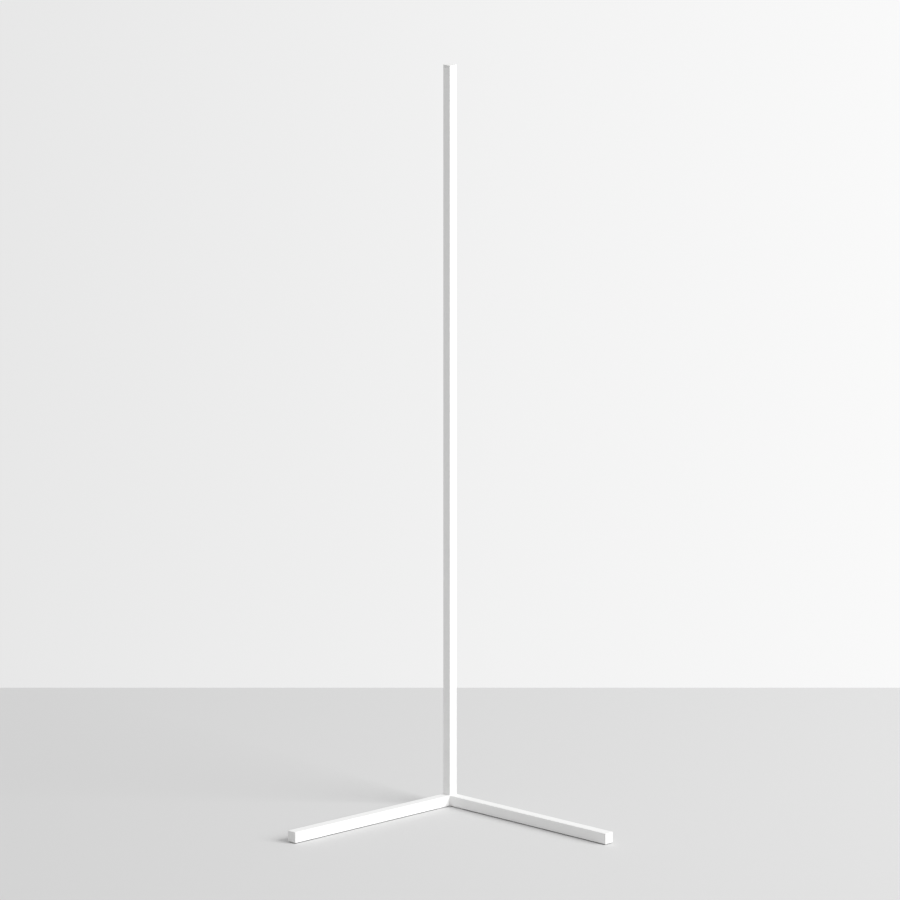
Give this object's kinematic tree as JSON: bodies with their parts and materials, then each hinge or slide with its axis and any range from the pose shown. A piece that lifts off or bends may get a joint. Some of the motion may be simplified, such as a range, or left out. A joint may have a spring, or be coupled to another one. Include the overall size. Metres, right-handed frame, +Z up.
{
  "type": "corner floor lamp",
  "caption": "Slim square post with an opal light side, standing on an L of square bars that lie along the floor.",
  "frame": {"origin": "on the post's axis at floor level, the middle of the pad below the corner block", "axes": "+Z up; one bar runs along +X and the other along -Y, into the room; the post's light side faces the room's corner, between -X and +Y"},
  "size_m": [0.4066, 0.405, 1.3998],
  "materials": {
    "post_coat": "fine matt white powder coat",
    "base_coat": "fine matt white powder coat",
    "cap_plastic": "matt white moulding",
    "opal_cover": "opal, satin",
    "pad_rubber": "matt black",
    "screw_zinc": "bright zinc plated",
    "strip_board": "white solder mask",
    "light_package": "yellow phosphor in a white frame",
    "resistor": "black",
    "solder_pad": "tinned copper",
    "inlet_nickel": "nickel plated",
    "insulator": "black moulding",
    "contact": "tinned brass",
    "lead_red": "red insulation",
    "lead_black": "black insulation",
    "grommet_rubber": "matt black"
  },
  "bodies": {
    "root": {"pole_profile": "post_coat", "diffuser": "opal_cover", "strip_board": "strip_board", "strip_leds": "light_package", "strip_resistors": "resistor", "strip_pads": "solder_pad", "top_cap": "cap_plastic", "cap_screw": "screw_zinc", "pole_screws": "screw_zinc", "corner_block": "base_coat", "bottom_plate": "base_coat", "plate_screws": "screw_zinc", "corner_pad": "pad_rubber", "leg_left": "base_coat", "leg_left_cap": "cap_plastic", "leg_left_pad": "pad_rubber", "leg_right": "base_coat", "leg_right_cap": "cap_plastic", "leg_right_pad": "pad_rubber", "leg_screws": "screw_zinc", "inlet_shell": "inlet_nickel", "inlet_insert": "insulator", "inlet_pin": "contact", "inlet_sleeve_tag": "contact", "inlet_nut": "inlet_nickel", "lead_positive": "lead_red", "lead_negative": "lead_black", "lead_grommet": "grommet_rubber"}
  },
  "joints": []
}
